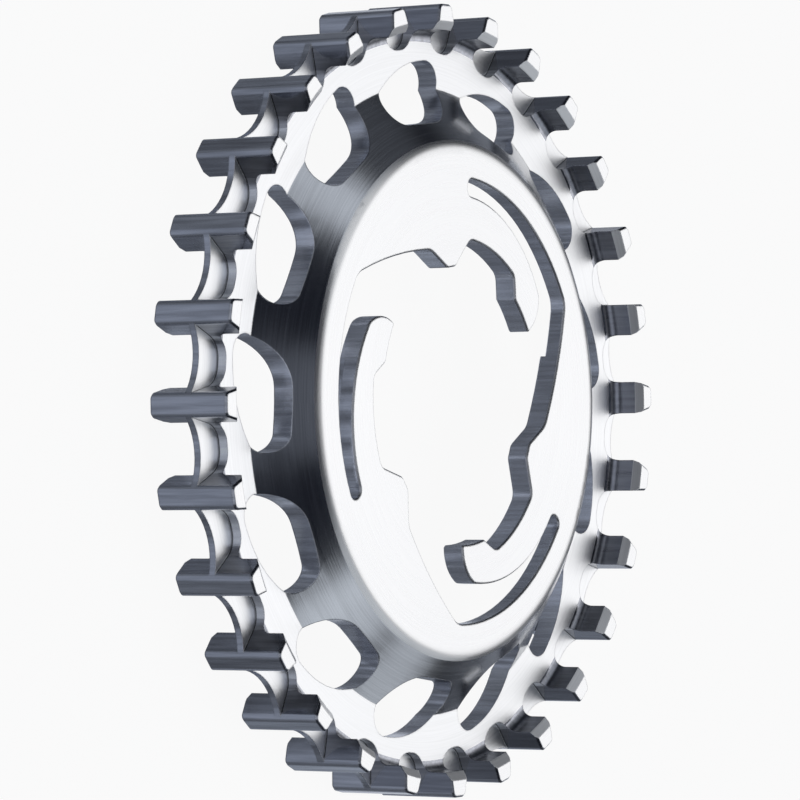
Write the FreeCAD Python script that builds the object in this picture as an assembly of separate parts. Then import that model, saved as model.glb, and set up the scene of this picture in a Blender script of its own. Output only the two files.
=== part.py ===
"""Belt drive sprocket: one machined steel piece, lying on its tooth ends, front face up.

Units are millimetres.  The sprocket axis is Z, and Z = 0 is the plane of the rear tooth ends.
"""
import FreeCAD, Part
import math
import os

V = FreeCAD.Vector

# Breaks on the edges of the tooth ends and of the hub opening
EDGE_BREAK = 0.24
OPENING_BREAK = 0.2

# Belt fit
TEETH = 28
BELT_PITCH = 11.0
TIP_DROP = 0.72
FACE_WIDTH = 10.8

# Tooth outline, seen along the axis
TOOTH_DEPTH = 5.4
TIP_WIDTH = 2.72
ROOT_WIDTH = 5.0
TIP_ROUND = 0.8
ROOT_ROUND = 2.7

# Overhang of the teeth on both sides of the web
UNDERSIDE_DROP = 3.1
LIP_INWARD = 0.75
LIP_RISE = 1.05
UNDERSIDE_FILLET = 1.3

# Centre fin that keeps the belt on its track
FIN_THICKNESS = 0.87
FIN_FROM_REAR = 4.78
FIN_VALLEY_DROP = 1.7
FIN_HORN_DROP = 0.3

# Hub interface: three lugs and the gripping faces of three sprung arms
ARMS = 3
ARM_GRIP_RADIUS = 17.6
LUG_REACH = 1.3
LUG_HEIGHT = 3.1

# Depth of each arm and width of the slot that frees it, outward from the gripping face
RELIEF_DEPTH = 2.15
ARM_DEPTH = 4.5
ARM_TIP_DEPTH = 4.8
SLOT_WIDTH = 2.95
SLOT_END_WIDTH = 2.15
SLOT_TO_HUB_EDGE = 3.7

# Places round the axis, in degrees, within one third of the hub opening
LUG_START = -26.5
LUG_END = -20.0
LUG_SHOULDER_ANGLE = -10.0
SLOT_ENTRY_ANGLE = 26.0
ARM_GRIP_START = 28.0
ARM_TIP_ANGLE = 35.0
ARM_GRIP_END = 44.5
RELIEF_START = 51.0
RELIEF_END = 83.0
SLOT_END_ANGLE = 85.5

# Rounds in the hub opening
SLOT_ENTRY_BULGE = 0.6
ARM_TIP_BULGE = 0.8
LUG_TIP_ROUND = 1.2
LUG_FOOT_ROUND = 2.5
SLOT_ENTRY_ROUND = 3.0
SLOT_END_ROUND = 1.0
ARM_TIP_ROUND = 2.0
GRIP_START_ROUND = 0.4
GRIP_END_ROUND = 0.5
RELIEF_ROUND = 1.6

# Web, cone and hub plate, with a thicker boss behind the lugs
RIM_WIDTH = 4.5
WEB_FRONT = 6.9
WEB_THICKNESS = 2.6
HUB_FRONT = 12.2
HUB_EDGE_ROUND = 3.0
WALL_THICKNESS = 2.15
BOSS_THICKNESS = 2.9
BOSS_TO_SLOT = 3.8

# Lightening pockets
POCKETS = 13
POCKET_START = 12.3
POCKET_TO_FLOOR = 1.5
POCKET_HEIGHT = 7.55

# The four corners of a pocket and their rounds, as shares of its height
SHOULDER_BACK_SHARE = 1.15
CREST_AHEAD_SHARE = 0.17
NOSE_AHEAD_SHARE = 1.52
HEEL_BACK_SHARE = 0.66
SHOULDER_ROUND_SHARE = 0.33
CREST_ROUND_SHARE = 2.0
NOSE_ROUND_SHARE = 0.31
HEEL_ROUND_SHARE = 0.86

# Derived sizes of the toothed ring
TIP_RADIUS = TEETH * BELT_PITCH / (2 * math.pi) - TIP_DROP
FLOOR_RADIUS = TIP_RADIUS - TOOTH_DEPTH
TOOTH_STEP = 360.0 / TEETH

# Derived radii of the hub opening, the hub plate and the cone
LUG_RADIUS = ARM_GRIP_RADIUS - LUG_REACH
LUG_SHOULDER_RADIUS = LUG_RADIUS + LUG_HEIGHT
RELIEF_RADIUS = ARM_GRIP_RADIUS + RELIEF_DEPTH
ARM_OUTER_TIP_RADIUS = ARM_GRIP_RADIUS + ARM_TIP_DEPTH
ARM_OUTER_MID_RADIUS = RELIEF_RADIUS + ARM_DEPTH
SLOT_RADIUS = ARM_OUTER_MID_RADIUS + SLOT_WIDTH
SLOT_FOOT_RADIUS = SLOT_RADIUS - SLOT_END_WIDTH
HUB_RADIUS = SLOT_RADIUS + SLOT_TO_HUB_EDGE
BOSS_RADIUS = SLOT_RADIUS - BOSS_TO_SLOT
RIM_INNER_RADIUS = FLOOR_RADIUS - RIM_WIDTH

# Derived heights and the wall of the cone
WEB_REAR = WEB_FRONT - WEB_THICKNESS
HUB_REAR = HUB_FRONT - WALL_THICKNESS
BOSS_REAR = HUB_FRONT - BOSS_THICKNESS
CONE_SLOPE = (HUB_FRONT - WEB_FRONT) / (RIM_INNER_RADIUS - HUB_RADIUS)
CONE_DEPTH = WALL_THICKNESS * math.hypot(1, CONE_SLOPE)

# Derived levels of a pocket
POCKET_OUTER_LEVEL = FLOOR_RADIUS - POCKET_TO_FLOOR
POCKET_INNER_LEVEL = POCKET_OUTER_LEVEL - POCKET_HEIGHT

CLEARANCE = 2.0


def polar(radius, angle, z=0.0):
    """Point at a radius and an angle in degrees."""
    turn = math.radians(angle)
    return V(radius * math.cos(turn), radius * math.sin(turn), z)


def spun(shape, angle):
    """Copy of a shape turned about the sprocket axis."""
    copy = shape.copy()
    copy.rotate(V(0, 0, 0), V(0, 0, 1), angle)
    return copy


def corner_arc(before, corner, after, radius):
    """Start, middle and end of the arc that rounds one corner."""
    arrive = (before - corner).normalize()
    leave = (after - corner).normalize()
    half = arrive.getAngle(leave) / 2
    reach = radius / math.tan(half)
    inward = (arrive + leave).normalize()
    middle = corner + inward * (radius / math.sin(half) - radius)
    return corner + arrive * reach, middle, corner + leave * reach


def rounded_wire(corners):
    """Closed wire through (point, radius) corners, with straight sides."""
    count = len(corners)
    edges = []
    ends = []
    for index, (point, radius) in enumerate(corners):
        before = corners[index - 1][0]
        after = corners[(index + 1) % count][0]
        if radius > 0:
            start, middle, end = corner_arc(before, point, after, radius)
            edges.append(Part.Arc(start, middle, end).toShape())
            ends.append((start, end))
        else:
            ends.append((point, point))
    for index in range(count):
        start = ends[index][1]
        end = ends[(index + 1) % count][0]
        edges.append(Part.makeLine(start, end))
    return Part.Wire(Part.__sortEdges__(edges))


def prism(wire, z_low, z_high):
    """Solid between two heights over a flat wire drawn at Z = 0."""
    face = Part.Face(wire)
    face.translate(V(0, 0, z_low))
    return face.extrude(V(0, 0, z_high - z_low))


def turned_blank():
    """Turned blank: hub plate, cone, web and the T-shaped toothed ring."""
    underside = TIP_RADIUS - UNDERSIDE_DROP
    lip = underside + LIP_RISE
    rim_rear = RIM_INNER_RADIUS - (CONE_DEPTH - WEB_THICKNESS) / CONE_SLOPE
    hub_rear = HUB_RADIUS - (CONE_DEPTH - WALL_THICKNESS) / CONE_SLOPE
    section = [
        (V(0, 0, HUB_FRONT), 0),
        (V(HUB_RADIUS, 0, HUB_FRONT), HUB_EDGE_ROUND),
        (V(RIM_INNER_RADIUS, 0, WEB_FRONT), 0),
        (V(underside, 0, WEB_FRONT), UNDERSIDE_FILLET),
        (V(underside, 0, FACE_WIDTH - LIP_INWARD), 0),
        (V(lip, 0, FACE_WIDTH), 0),
        (V(TIP_RADIUS + CLEARANCE, 0, FACE_WIDTH), 0),
        (V(TIP_RADIUS + CLEARANCE, 0, 0), 0),
        (V(lip, 0, 0), 0),
        (V(underside, 0, LIP_INWARD), 0),
        (V(underside, 0, WEB_REAR), UNDERSIDE_FILLET),
        (V(rim_rear, 0, WEB_REAR), 0),
        (V(hub_rear, 0, HUB_REAR), 0),
        (V(BOSS_RADIUS, 0, HUB_REAR), 0),
        (V(BOSS_RADIUS, 0, BOSS_REAR), 0),
        (V(0, 0, BOSS_REAR), 0),
    ]
    face = Part.Face(rounded_wire(section))
    return face.revolve(V(0, 0, 0), V(0, 0, 1), 360)


def toothed_prism():
    """Prism with the outline of the 28 teeth."""
    half_gap = TOOTH_STEP / 2
    foot_angle = math.degrees(math.atan(ROOT_WIDTH / 2 / FLOOR_RADIUS))
    foot_radius = FLOOR_RADIUS / math.cos(math.radians(half_gap - foot_angle))
    tip_angle = math.degrees(math.atan(TIP_WIDTH / 2 / TIP_RADIUS))
    tip_corner = TIP_RADIUS / math.cos(math.radians(tip_angle))
    corners = []
    for index in range(TEETH):
        centre = index * TOOTH_STEP
        corners.append((polar(foot_radius, centre - foot_angle), ROOT_ROUND))
        corners.append((polar(tip_corner, centre - tip_angle), TIP_ROUND))
        corners.append((polar(tip_corner, centre + tip_angle), TIP_ROUND))
        corners.append((polar(foot_radius, centre + foot_angle), ROOT_ROUND))
    return prism(rounded_wire(corners), -CLEARANCE, HUB_FRONT + CLEARANCE)


def centre_fin():
    """Thin ring in the tooth gaps, hollowed between each pair of teeth."""
    horn = TIP_RADIUS - FIN_HORN_DROP
    valley = TIP_RADIUS - FIN_VALLEY_DROP
    horn_angle = math.degrees(math.atan(TIP_WIDTH / 2 / horn))
    edges = []
    for index in range(TEETH):
        centre = index * TOOTH_STEP
        left = polar(horn, centre - horn_angle)
        right = polar(horn, centre + horn_angle)
        low = polar(valley, centre + TOOTH_STEP / 2)
        following = polar(horn, centre + TOOTH_STEP - horn_angle)
        edges.append(Part.makeLine(left, right))
        edges.append(Part.Arc(right, low, following).toShape())
    outline = Part.Wire(Part.__sortEdges__(edges))
    disc = prism(outline, FIN_FROM_REAR, FIN_FROM_REAR + FIN_THICKNESS)
    inner = Part.makeCylinder((RIM_INNER_RADIUS + FLOOR_RADIUS) / 2, HUB_FRONT)
    return disc.cut(inner)


def upright_edges(solid, radius, angle, repeats):
    """Vertical edges that stand at a polar position, once for each repeat."""
    found = []
    for edge in solid.Edges:
        box = edge.BoundBox
        if box.ZLength < 1 or box.XLength + box.YLength > 0.01:
            continue
        for index in range(repeats):
            place = polar(radius, angle + index * 360.0 / repeats)
            if math.hypot(box.Center.x - place.x, box.Center.y - place.y) < 0.05:
                found.append(edge)
    return found


def pocket():
    """One lightening pocket, turned to its place on the web and the cone."""
    corners = []
    for level, ahead, rounding in (
        (POCKET_OUTER_LEVEL, -SHOULDER_BACK_SHARE, SHOULDER_ROUND_SHARE),
        (POCKET_OUTER_LEVEL, CREST_AHEAD_SHARE, CREST_ROUND_SHARE),
        (POCKET_INNER_LEVEL, NOSE_AHEAD_SHARE, NOSE_ROUND_SHARE),
        (POCKET_INNER_LEVEL, -HEEL_BACK_SHARE, HEEL_ROUND_SHARE),
    ):
        corners.append((V(level, ahead * POCKET_HEIGHT, 0), rounding * POCKET_HEIGHT))
    solid = prism(rounded_wire(corners), -CLEARANCE, HUB_FRONT + CLEARANCE)
    return spun(solid, POCKET_START)


def bulged(start, end, bulge):
    """Arc between two points that bows out to the right of the way from start to end."""
    along = (end - start).normalize()
    middle = (start + end) * 0.5 + V(along.y, -along.x, 0) * bulge
    return Part.Arc(start, middle, end).toShape()


def opening_third():
    """Edges of one third of the hub opening, from one lug to the next."""
    lug_start = polar(LUG_RADIUS, LUG_START)
    lug_middle = polar(LUG_RADIUS, (LUG_START + LUG_END) / 2)
    lug_end = polar(LUG_RADIUS, LUG_END)
    shoulder = polar(LUG_SHOULDER_RADIUS, LUG_SHOULDER_ANGLE)
    entry = polar(SLOT_RADIUS, SLOT_ENTRY_ANGLE)
    slot_middle = polar(SLOT_RADIUS, (SLOT_ENTRY_ANGLE + SLOT_END_ANGLE) / 2)
    slot_end = polar(SLOT_RADIUS, SLOT_END_ANGLE)
    arm_foot = polar(SLOT_FOOT_RADIUS, SLOT_END_ANGLE)
    arm_middle = polar(ARM_OUTER_MID_RADIUS, (SLOT_END_ANGLE + ARM_TIP_ANGLE) / 2)
    arm_tip = polar(ARM_OUTER_TIP_RADIUS, ARM_TIP_ANGLE)
    grip_start = polar(ARM_GRIP_RADIUS, ARM_GRIP_START)
    grip_middle = polar(ARM_GRIP_RADIUS, (ARM_GRIP_START + ARM_GRIP_END) / 2)
    grip_end = polar(ARM_GRIP_RADIUS, ARM_GRIP_END)
    relief_start = polar(RELIEF_RADIUS, RELIEF_START)
    relief_middle = polar(RELIEF_RADIUS, (RELIEF_START + RELIEF_END) / 2)
    relief_end = polar(RELIEF_RADIUS, RELIEF_END)
    next_lug = polar(LUG_RADIUS, LUG_START + 360.0 / ARMS)
    return [
        Part.Arc(lug_start, lug_middle, lug_end).toShape(),
        Part.makeLine(lug_end, shoulder),
        bulged(shoulder, entry, SLOT_ENTRY_BULGE),
        Part.Arc(entry, slot_middle, slot_end).toShape(),
        Part.makeLine(slot_end, arm_foot),
        Part.Arc(arm_foot, arm_middle, arm_tip).toShape(),
        bulged(grip_start, arm_tip, ARM_TIP_BULGE),
        Part.Arc(grip_start, grip_middle, grip_end).toShape(),
        Part.makeLine(grip_end, relief_start),
        Part.Arc(relief_start, relief_middle, relief_end).toShape(),
        Part.makeLine(relief_end, next_lug),
    ]


def hub_opening():
    """Tool for the central opening with its three arms left standing."""
    edges = []
    for index in range(ARMS):
        for edge in opening_third():
            edges.append(spun(edge, index * 360.0 / ARMS))
    wire = Part.Wire(Part.__sortEdges__(edges))
    solid = prism(wire, BOSS_REAR - CLEARANCE, HUB_FRONT + CLEARANCE)
    for radius, angle, rounding in (
        (LUG_RADIUS, LUG_START, LUG_TIP_ROUND),
        (LUG_RADIUS, LUG_END, LUG_TIP_ROUND),
        (LUG_SHOULDER_RADIUS, LUG_SHOULDER_ANGLE, LUG_FOOT_ROUND),
        (SLOT_RADIUS, SLOT_ENTRY_ANGLE, SLOT_ENTRY_ROUND),
        (SLOT_RADIUS, SLOT_END_ANGLE, SLOT_END_ROUND),
        (SLOT_FOOT_RADIUS, SLOT_END_ANGLE, SLOT_END_ROUND),
        (ARM_OUTER_TIP_RADIUS, ARM_TIP_ANGLE, ARM_TIP_ROUND),
        (ARM_GRIP_RADIUS, ARM_GRIP_START, GRIP_START_ROUND),
        (ARM_GRIP_RADIUS, ARM_GRIP_END, GRIP_END_ROUND),
        (RELIEF_RADIUS, RELIEF_START, RELIEF_ROUND),
        (RELIEF_RADIUS, RELIEF_END, RELIEF_ROUND),
    ):
        solid = solid.makeFillet(rounding, upright_edges(solid, radius, angle, ARMS))
    return solid


def tooth_end_edges(solid):
    """Outer edges of the tooth ends, without the edge of the lip below."""
    lip = TIP_RADIUS - UNDERSIDE_DROP + LIP_RISE
    found = []
    for edge in solid.Edges:
        box = edge.BoundBox
        at_end = abs(box.ZMin) < 0.001 or abs(box.ZMin - FACE_WIDTH) < 0.001
        if box.ZLength > 0.001 or not at_end:
            continue
        reach = [math.hypot(v.X, v.Y) for v in edge.Vertexes]
        if max(reach) > lip + 0.01:
            found.append(edge)
    return found


def opening_edges(solid):
    """Front and rear edges of the hub opening."""
    found = []
    for edge in solid.Edges:
        box = edge.BoundBox
        level = any(max(abs(box.ZMin - z), abs(box.ZMax - z)) < 0.001 for z in (HUB_FRONT, HUB_REAR, BOSS_REAR))
        reach = [math.hypot(v.X, v.Y) for v in edge.Vertexes]
        middle = edge.valueAt((edge.FirstParameter + edge.LastParameter) / 2)
        on_boss = abs(math.hypot(middle.x, middle.y) - BOSS_RADIUS) < 0.01
        if level and not on_boss and max(reach) < SLOT_RADIUS + 0.5:
            found.append(edge)
    return found


def sprocket():
    """The finished piece."""
    body = turned_blank().common(toothed_prism())
    body = body.makeChamfer(EDGE_BREAK, tooth_end_edges(body))
    body = body.fuse(centre_fin())
    tools = [hub_opening()]
    first = pocket()
    for index in range(POCKETS):
        tools.append(spun(first, index * 360.0 / POCKETS))
    body = body.cut(tools).removeSplitter()
    return body.makeChamfer(OPENING_BREAK, opening_edges(body))


os.makedirs("parts", exist_ok=True)
shape = sprocket()
solid = shape.Solids[0] if len(shape.Solids) == 1 else shape
solid.exportStep("parts/belt_sprocket.step")
box = solid.BoundBox
print("solids", len(shape.Solids), "faces", len(solid.Faces), "valid", solid.isValid())
print("box", box.XLength, box.YLength, box.ZLength, "volume", solid.Volume)
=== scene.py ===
"""Belt drive sprocket of bright machined steel, lying on a pale floor."""
import bpy
import math
from mathutils import Matrix, Vector

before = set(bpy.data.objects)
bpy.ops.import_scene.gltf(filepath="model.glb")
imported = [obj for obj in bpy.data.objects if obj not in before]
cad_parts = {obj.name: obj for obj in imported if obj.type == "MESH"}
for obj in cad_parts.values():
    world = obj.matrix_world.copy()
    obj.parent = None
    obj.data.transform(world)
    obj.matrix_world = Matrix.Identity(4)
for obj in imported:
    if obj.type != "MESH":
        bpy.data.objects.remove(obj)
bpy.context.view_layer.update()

# Camera: angles in degrees from +Z, its distance and aim in metres, lens and sensor in millimetres
CAMERA_AZIMUTH = -56.89
CAMERA_ELEVATION = -0.01
CAMERA_ROLL = -0.986
CAMERA_DISTANCE = 0.6157
CAMERA_LENS = 225.45
CAMERA_SENSOR = 36
CAMERA_CLIP = (0.01, 100)
AIM_RIGHT = 0.00257
AIM_UP = 0.00023

# Regions of the sprocket: radii from its axis, in metres
CONE_INNER = 0.0290
CONE_OUTER = 0.0386
OPENINGS_OUTER = 0.0418
GROOVE_OUTER = 0.0453
CORNER_OUTER = 0.0475

# Regions of the sprocket: heights above the floor, in metres
WEB_REAR = 0.002
WEB_FRONT = 0.008
HUB_EDGE = 0.0114
FIN_FACES = (0.00478, 0.00565)
TOOTH_MIDDLE = 0.0054
LIP_START = 0.0042

# Directions of faces: the upward part of a normal, and its part away from the axis
FLAT = 0.999
HUB_EDGE_RISE = 0.5
CONE_RISE = 0.3
LIP_RISE = 0.2
SIDEWAYS = 0.3
GROOVE_OUTWARD = 0.7

# Finishes: turned or not, colour, roughness, anisotropy, depth of the marks in metres, spread of the tone
FINISHES = {
    "faced": (True, (0.68, 0.683, 0.69), 0.27, 0.3, 0.000002, 0.03),
    "turned": (True, (0.59, 0.603, 0.63), 0.15, 0.4, 0.000008, 0.12),
    # Rougher satin steel with a colour lighter than the other steel: partly a real rougher finish, partly
    # painted light.
    "scraped_painted_light": (True, (0.84, 0.845, 0.855), 0.42, 0.3, 0.000003, 0.05),
    # Darker copy of the steel on the inward sides of the teeth: painted shade.
    "lip_painted_shade": (False, (0.3, 0.31, 0.345), 0.28, 0.0, 0.000012, 0.2),
    "bored": (False, (0.78, 0.795, 0.84), 0.17, 0.0, 0.000016, 0.18),
    # Lighter copy of the steel on the groove floor: painted light.
    "groove_painted_light": (False, (0.87, 0.89, 0.93), 0.22, 0.0, 0.000016, 0.12),
    "milled": (False, (0.56, 0.575, 0.62), 0.16, 0.0, 0.000016, 0.22),
    # Darker copy of the steel on the tooth flanks in front of the fin: painted shade.
    "flank_painted_shade": (False, (0.31, 0.32, 0.355), 0.15, 0.0, 0.000014, 0.22),
}

# Marks of the tools: scale and detail of each noise, and how far it is drawn out round the axis or along it
RING_NOISE = (5200, 2.0)
CUT_NOISE = (1900, 2.0)
BROAD_NOISE = (700, 1.0)
GRAIN_NOISE = (9000, 1.0)
RING_STRETCH = 0.0006
CUT_STRETCH = 0.05

# Marks of the tools: their mix, and what they do to tone, gloss and relief
FINE_SHARE = 0.7
BROAD_SHARE = 0.3
GRAIN_SHARE = 0.25
NOISE_ROUGHNESS = 0.6
TONE_RANGE = (0.3, 0.7)
GLOSS_RANGE = (-0.05, 0.07)
MARK_STRENGTH = 0.5

# Softened edges, and a dark line of painted shade in the concave corners at the fin
EDGE_ROUND = 0.0002
EDGE_SAMPLES = 4
SHADE_LINE_WIDTH = 0.0002
PAINTED_CORNER_SHADE = 0.2

# Floor, its half size in metres
FLOOR_HALF = 12
FLOOR_COLOUR = (0.86, 0.865, 0.87, 1)
FLOOR_WHITENESS = 0.93
FLOOR_SHEEN = (0.77, 0.81, 0.89, 1)
FLOOR_SHEEN_ROUGHNESS = 0.25
FLOOR_MIRRORED_SHARE = 0.5
FLOOR_MIRRORED_COLOUR = (0.172, 0.185, 0.212)

WHITE = (1.0, 1.0, 1.0)

# Studio panels, in degrees: azimuth from +X, half width and softness, the same for elevation, then radiance
SKY_BASE = (0.012, 0.014, 0.021)
PANELS = (
    (-2, 28, 8, 43, 25, 6, (1.48, 1.48, 1.49)),
    (40, 22, 8, 55, 12, 4, (0.98, 1.0, 1.03)),
    (-58, 24, 5, 49, 15, 5, (0.68, 0.72, 0.77)),
    (-72, 10, 5, 52, 10, 5, (0.85, 0.9, 0.96)),
    (-42, 14, 5, 30, 12, 5, (0.6, 0.635, 0.68)),
    (63, 18, 4, 50, 11, 4, (0.72, 0.76, 0.82)),
    (50, 12, 8, 30, 12, 6, (0.065, 0.07, 0.082)),
    (2, 14, 12, 20, 8, 5, (0.95, 0.95, 0.96)),
    (-6, 48, 14, 84, 13, 3, (0.48, 0.485, 0.5)),
    (0, 40, 12, 2, 10, 6, (0.087, 0.094, 0.11)),
    (180, 42, 8, 36, 20, 8, (0.55, 0.58, 0.65)),
    (180, 46, 4, 79, 11, 4, (0.12, 0.13, 0.155)),
    (122, 16, 12, 26, 12, 8, (0.39, 0.405, 0.43)),
    (-122, 14, 10, 24, 12, 8, (0.33, 0.345, 0.37)),
)


def node(tree, kind, inputs=None, **settings):
    """Shader node. Each input is a plain value, an output socket, or a node that gives its first output."""
    made = tree.nodes.new(kind)
    for name, value in settings.items():
        setattr(made, name, value)
    for key, value in (inputs or {}).items():
        if isinstance(value, bpy.types.Node):
            value = value.outputs[0]
        if isinstance(value, bpy.types.NodeSocket):
            tree.links.new(value, made.inputs[key])
        else:
            made.inputs[key].default_value = value
    return made


def maths(tree, operation, *values):
    """Result of a math node."""
    return node(tree, "ShaderNodeMath", dict(enumerate(values)), operation=operation).outputs[0]


def vector_maths(tree, operation, inputs):
    """Result of a vector math node."""
    return node(tree, "ShaderNodeVectorMath", inputs, operation=operation).outputs[0]


def split(tree, vector):
    """The three parts of a vector."""
    return node(tree, "ShaderNodeSeparateXYZ", {0: vector}).outputs


def combine(tree, *values):
    """Vector from three values."""
    return node(tree, "ShaderNodeCombineXYZ", dict(enumerate(values))).outputs[0]


def fade(tree, value, start, end):
    """Smooth step from 0 at start to 1 at end."""
    inputs = {"Value": value, "From Min": start, "From Max": end}
    return node(tree, "ShaderNodeMapRange", inputs, interpolation_type="SMOOTHSTEP").outputs[0]


def blend(tree, share, first, second):
    """Colour mix; each colour is three numbers or an output socket."""
    made = node(tree, "ShaderNodeMix", {"Factor": share}, data_type="RGBA")
    for key, colour in (("A", first), ("B", second)):
        if isinstance(colour, tuple):
            made.inputs[key].default_value = (*colour, 1)
        else:
            tree.links.new(colour, made.inputs[key])
    return made.outputs["Result"]


def empty_material(name):
    """Material whose node tree is still empty."""
    surface = bpy.data.materials.new(name)
    surface.use_nodes = True
    surface.node_tree.nodes.clear()
    return surface


def camera():
    """Long-lens camera that looks down on the sprocket along the photograph's line."""
    azimuth = math.radians(CAMERA_AZIMUTH)
    elevation = math.radians(CAMERA_ELEVATION)
    roll = math.radians(CAMERA_ROLL)
    back = Vector((math.sin(azimuth) * math.cos(elevation), math.sin(elevation),
                   math.cos(azimuth) * math.cos(elevation)))
    level = Vector((0, 1, 0)).cross(back).normalized()
    upright = back.cross(level)
    right = math.cos(roll) * level + math.sin(roll) * upright
    up = math.cos(roll) * upright - math.sin(roll) * level
    place = back * CAMERA_DISTANCE
    aim = right * AIM_RIGHT + up * AIM_UP
    away = (place - aim).normalized()
    side = up.cross(away).normalized()
    top = away.cross(side)
    data = bpy.data.cameras.new("camera")
    data.lens = CAMERA_LENS
    data.sensor_width = CAMERA_SENSOR
    data.clip_start, data.clip_end = CAMERA_CLIP
    made = bpy.data.objects.new("camera", data)
    made.matrix_world = Matrix.Translation(place) @ Matrix((side, top, away)).transposed().to_4x4()
    bpy.context.collection.objects.link(made)
    bpy.context.scene.camera = made


def window(tree, angle, half, soft):
    """1 where an angle is within half, falling smoothly to 0 round that edge."""
    width = maths(tree, "ABSOLUTE", angle)
    return fade(tree, width, math.radians(half + soft), math.radians(half - soft))


def panel(tree, heading, height, azimuth, half, soft, elevation, tall, blur):
    """Share of a soft light panel seen along a ray, from the ray's two angles."""
    aside = maths(tree, "SUBTRACT", heading, math.radians(azimuth))
    across = maths(tree, "WRAP", aside, math.pi, -math.pi)
    above = maths(tree, "SUBTRACT", height, math.radians(elevation))
    return maths(tree, "MULTIPLY", window(tree, across, half, soft), window(tree, above, tall, blur))


def studio_sky():
    """Soft light panels on a dark sky, and plain white for the camera."""
    world = bpy.data.worlds.new("studio")
    bpy.context.scene.world = world
    world.use_nodes = True
    tree = world.node_tree
    tree.nodes.clear()
    x, y, z = split(tree, node(tree, "ShaderNodeTexCoord").outputs["Generated"])
    heading = maths(tree, "ARCTAN2", y, x)
    height = maths(tree, "ARCSINE", z)
    radiance = SKY_BASE
    for *shape, colour in PANELS:
        share = panel(tree, heading, height, *shape)
        tint = vector_maths(tree, "SCALE", {0: colour, "Scale": share})
        radiance = vector_maths(tree, "MAXIMUM", {0: radiance, 1: tint})
    lit = node(tree, "ShaderNodeBackground", {"Color": radiance})
    seen = node(tree, "ShaderNodeBackground", {"Color": (*WHITE, 1)})
    camera_ray = node(tree, "ShaderNodeLightPath").outputs["Is Camera Ray"]
    mix = node(tree, "ShaderNodeMixShader", {0: camera_ray, 1: lit, 2: seen})
    node(tree, "ShaderNodeOutputWorld", {0: mix})


def floor():
    """Wide pale floor with a soft shadow: near white to the camera, dimmer and with a sheen in the metal."""
    data = bpy.data.meshes.new("floor")
    corners = [(x * FLOOR_HALF, y * FLOOR_HALF, 0) for x, y in ((-1, -1), (1, -1), (1, 1), (-1, 1))]
    data.from_pydata(corners, [], [(0, 1, 2, 3)])
    made = bpy.data.objects.new("floor", data)
    bpy.context.collection.objects.link(made)
    surface = empty_material("floor")
    tree = surface.node_tree
    ray = node(tree, "ShaderNodeLightPath").outputs
    camera_ray = ray["Is Camera Ray"]
    mirror_ray = maths(tree, "ADD", ray["Is Glossy Ray"], ray["Is Transmission Ray"])
    plain = node(tree, "ShaderNodeBsdfDiffuse", {"Color": FLOOR_COLOUR})
    sheen = node(tree, "ShaderNodeBsdfGlossy", {"Color": FLOOR_SHEEN, "Roughness": FLOOR_SHEEN_ROUGHNESS})
    glow = node(tree, "ShaderNodeEmission", {"Color": blend(tree, camera_ray, FLOOR_MIRRORED_COLOUR, WHITE)})
    seen = maths(tree, "MULTIPLY", camera_ray, FLOOR_WHITENESS)
    mirrored = maths(tree, "MULTIPLY", mirror_ray, FLOOR_MIRRORED_SHARE)
    lit = node(tree, "ShaderNodeMixShader", {0: mirror_ray, 1: plain, 2: sheen})
    mix = node(tree, "ShaderNodeMixShader", {0: maths(tree, "ADD", seen, mirrored), 1: lit, 2: glow})
    node(tree, "ShaderNodeOutputMaterial", {0: mix})
    data.materials.append(surface)


def noise(tree, vector, scale, detail):
    """Fine noise value on a vector given in metres."""
    inputs = {"Vector": vector, "Scale": scale, "Detail": detail, "Roughness": NOISE_ROUGHNESS}
    return node(tree, "ShaderNodeTexNoise", inputs).outputs[0]


def painted_corner_shade(tree, radius, z):
    """Painted shade: a dark line in the concave corners where the tooth walls meet the two faces of the fin.
    """
    low, high = FIN_FACES
    middle = maths(tree, "ABSOLUTE", maths(tree, "SUBTRACT", z, (low + high) / 2))
    outside = maths(tree, "SUBTRACT", middle, (high - low) / 2)
    near = fade(tree, outside, SHADE_LINE_WIDTH, SHADE_LINE_WIDTH / 2)
    line = maths(tree, "MULTIPLY", near, maths(tree, "GREATER_THAN", outside, 0))
    beyond = maths(tree, "GREATER_THAN", radius, OPENINGS_OUTER)
    on_teeth = maths(tree, "MULTIPLY", maths(tree, "LESS_THAN", radius, CORNER_OUTER), beyond)
    return maths(tree, "MULTIPLY", line, on_teeth)


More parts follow.
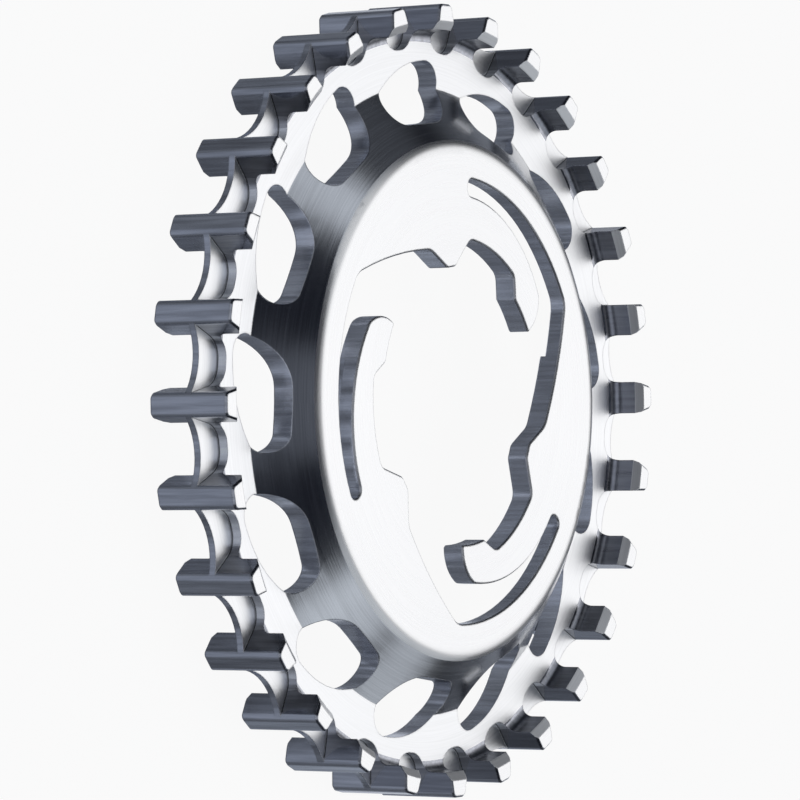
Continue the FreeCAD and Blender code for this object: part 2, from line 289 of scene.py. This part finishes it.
def steel(name, turned, colour, roughness, anisotropy, depth, spread):
    """Bright steel: turned surfaces carry rings round the axis, cut ones lines along it and a dark line of
    painted shade in the corners at the fin.
    """
    surface = empty_material(name)
    tree = surface.node_tree
    place = node(tree, "ShaderNodeTexCoord").outputs["Object"]
    x, y, z = split(tree, place)
    squares = maths(tree, "ADD", maths(tree, "MULTIPLY", x, x), maths(tree, "MULTIPLY", y, y))
    radius = maths(tree, "SQRT", squares)
    if turned:
        turn = maths(tree, "MULTIPLY", maths(tree, "ARCTAN2", y, x), RING_STRETCH)
        along = combine(tree, radius, z, turn)
    else:
        along = combine(tree, x, y, maths(tree, "MULTIPLY", z, CUT_STRETCH))
    fine = maths(tree, "MULTIPLY", noise(tree, along, *(RING_NOISE if turned else CUT_NOISE)), FINE_SHARE)
    broad = maths(tree, "MULTIPLY", noise(tree, along, *BROAD_NOISE), BROAD_SHARE)
    grain = maths(tree, "MULTIPLY", noise(tree, place, *GRAIN_NOISE), GRAIN_SHARE)
    lines = maths(tree, "ADD", fine, broad)
    relief = maths(tree, "ADD", lines, grain)
    dark = tuple((1 - spread) * value for value in colour)
    light = tuple((1 + spread) * value for value in colour)
    tone = blend(tree, fade(tree, lines, *TONE_RANGE), dark, light)
    # Cut finishes darken to a line of painted shade where the tooth walls meet the fin faces.
    if not turned:
        painted_shade = tuple(PAINTED_CORNER_SHADE * value for value in colour)
        tone = blend(tree, painted_corner_shade(tree, radius, z), tone, painted_shade)
    glossiest, dullest = GLOSS_RANGE
    gloss = node(tree, "ShaderNodeMapRange", {
        "Value": lines, "To Min": roughness + glossiest, "To Max": roughness + dullest})
    edge = node(tree, "ShaderNodeBevel", {"Radius": EDGE_ROUND}, samples=EDGE_SAMPLES)
    marks = node(tree, "ShaderNodeBump", {
        "Strength": MARK_STRENGTH, "Distance": depth, "Height": relief, "Normal": edge})
    shader = node(tree, "ShaderNodeBsdfPrincipled", {
        "Base Color": tone, "Metallic": 1.0, "Roughness": gloss, "Anisotropic": anisotropy, "Normal": marks})
    if turned:
        rings = node(tree, "ShaderNodeTangent", direction_type="RADIAL", axis="Z")
        tree.links.new(rings.outputs[0], shader.inputs["Tangent"])
    node(tree, "ShaderNodeOutputMaterial", {0: shader})
    return surface


def finish_of(face):
    """Which finish a face of the sprocket has, from its place and its direction; the lighter and darker
    copies of the steel paint light and shade.
    """
    radius = math.hypot(face.center.x, face.center.y)
    level = face.center.z
    rise = face.normal.z
    outward = (face.normal.x * face.center.x + face.normal.y * face.center.y) / radius
    if abs(rise) > FLAT or (level > HUB_EDGE and rise > HUB_EDGE_RISE):
        # Flat faces outside the cone between the web's rear and front levels take the lighter scraped steel:
        # painted light.
        return "scraped_painted_light" if radius > CONE_OUTER and WEB_REAR < level < WEB_FRONT else "faced"
    if abs(rise) > CONE_RISE and CONE_INNER < radius < CONE_OUTER:
        return "turned"
    if radius > OPENINGS_OUTER and outward < -SIDEWAYS:
        # Inward sides of the teeth: sloped ones take the lighter scraped steel (painted light), the others
        # the darker lip steel (painted shade).
        return "scraped_painted_light" if abs(rise) > LIP_RISE and abs(level - TOOTH_MIDDLE) > LIP_START else "lip_painted_shade"
    if radius < OPENINGS_OUTER:
        return "bored"
    if radius < GROOVE_OUTER and outward > GROOVE_OUTWARD:
        # The groove floor takes the lighter groove steel: painted light.
        return "groove_painted_light"
    # Tooth flanks in front of the fin take the darker flank steel: painted shade.
    return "flank_painted_shade" if abs(outward) < SIDEWAYS and level > FIN_FACES[1] else "milled"


def dress():
    """Machined finishes on the sprocket, some of them lighter or darker copies of the steel that paint light
    and shade.
    """
    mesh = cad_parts["belt_sprocket"].data
    mesh.materials.clear()
    for name, finish in FINISHES.items():
        mesh.materials.append(steel(name + "_steel", *finish))
    order = list(FINISHES)
    for face in mesh.polygons:
        face.material_index = order.index(finish_of(face))


bpy.context.scene.view_settings.view_transform = "Standard"
camera()
studio_sky()
floor()
dress()
